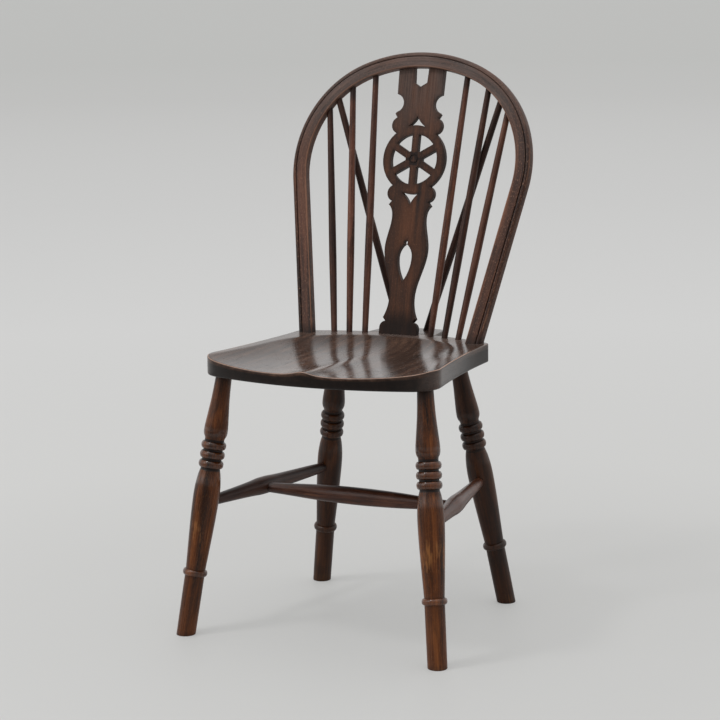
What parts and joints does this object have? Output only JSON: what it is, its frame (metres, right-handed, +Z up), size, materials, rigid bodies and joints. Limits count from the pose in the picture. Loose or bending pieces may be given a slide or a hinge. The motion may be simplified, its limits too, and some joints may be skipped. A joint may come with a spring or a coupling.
{
  "type": "dining chair",
  "caption": "Wheelback Windsor dining chair: scooped seat, steam-bent bow with sticks and a fretted wheel splat, bracing sticks on a bobtail, turned legs and H stretchers.",
  "frame": {"origin": "on the floor, below the middle of the chair's outer box", "axes": "+Z up, +X to the side that is on the right in the picture, and the sitter faces -Y"},
  "size_m": [0.4644, 0.4595, 0.8896],
  "materials": {
    "seat_wood": "dark stained wood, worn satin polish",
    "bow_wood": "dark stained bent wood, worn arris",
    "splat_wood": "dark stained flat board",
    "stick_wood": "dark stained turned wood",
    "leg_wood": "stained turned wood, worn satin polish",
    "stretcher_wood": "stained turned wood, worn satin polish",
    "wedge_wood": "raw wood, oiled"
  },
  "bodies": {
    "root": {"seat": "seat_wood", "tail_block": "seat_wood", "bow": "bow_wood", "splat": "splat_wood", "back_stick_left_inner": "stick_wood", "back_stick_left_middle": "stick_wood", "back_stick_left_outer": "stick_wood", "back_stick_right_inner": "stick_wood", "back_stick_right_middle": "stick_wood", "back_stick_right_outer": "stick_wood", "brace_stick_left": "stick_wood", "brace_stick_right": "stick_wood", "leg_front_left": "leg_wood", "leg_front_right": "leg_wood", "leg_back_left": "leg_wood", "leg_back_right": "leg_wood", "side_stretcher_left": "stretcher_wood", "side_stretcher_right": "stretcher_wood", "cross_stretcher": "stretcher_wood", "bow_wedge_left": "wedge_wood", "bow_wedge_right": "wedge_wood"}
  },
  "joints": []
}
